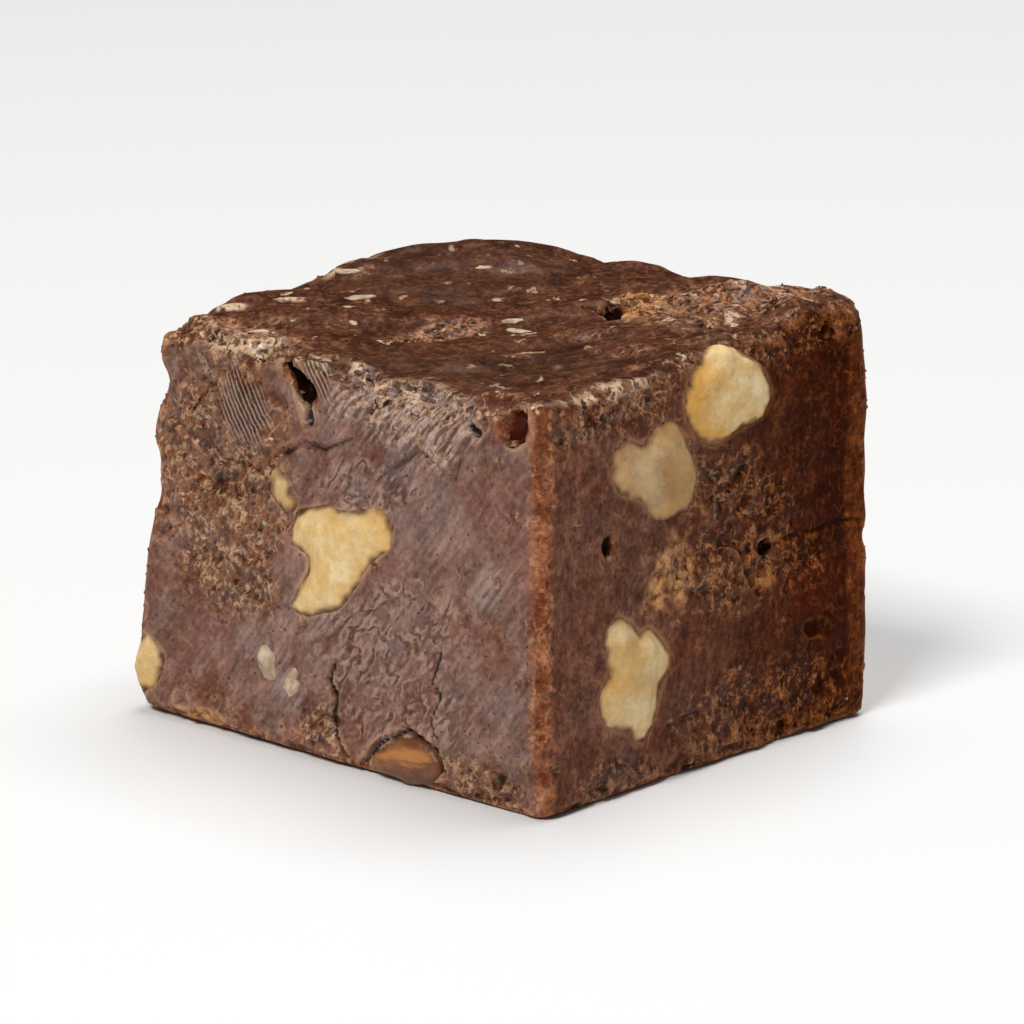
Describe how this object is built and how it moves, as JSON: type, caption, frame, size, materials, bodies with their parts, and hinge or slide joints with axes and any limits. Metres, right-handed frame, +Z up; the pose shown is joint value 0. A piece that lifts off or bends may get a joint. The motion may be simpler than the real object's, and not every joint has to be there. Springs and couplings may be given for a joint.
{
  "type": "walnut fudge piece",
  "caption": "Hand-cut block of chocolate fudge with broken walnut kernels lying flush in its cut sides and a dished, spread top.",
  "frame": {"origin": "middle of the flat underside of the piece's box", "axes": "+Z up, +X along the longest side, -Y out of the knife-cut front side"},
  "size_m": [0.04, 0.0352, 0.0308],
  "materials": {
    "chocolate_fudge": "dull set chocolate with knife drag, torn crumbly places and small glints",
    "walnut_kernel": "pale cream nut flesh, tan at the rim",
    "walnut_skin": "brown nut skin, slightly glossy"
  },
  "bodies": {
    "root": {"fudge": "chocolate_fudge", "walnut_front_large": "walnut_kernel", "walnut_front_sliver": "walnut_kernel", "walnut_front_foot": "walnut_skin", "walnut_left_corner": "walnut_kernel", "walnut_right_top": "walnut_kernel", "walnut_right_middle": "walnut_kernel", "walnut_right_low": "walnut_kernel", "walnut_back_1": "walnut_kernel", "walnut_back_2": "walnut_kernel", "walnut_back_3": "walnut_kernel", "walnut_left_1": "walnut_kernel", "walnut_left_2": "walnut_kernel", "walnut_left_3": "walnut_kernel"}
  },
  "joints": []
}
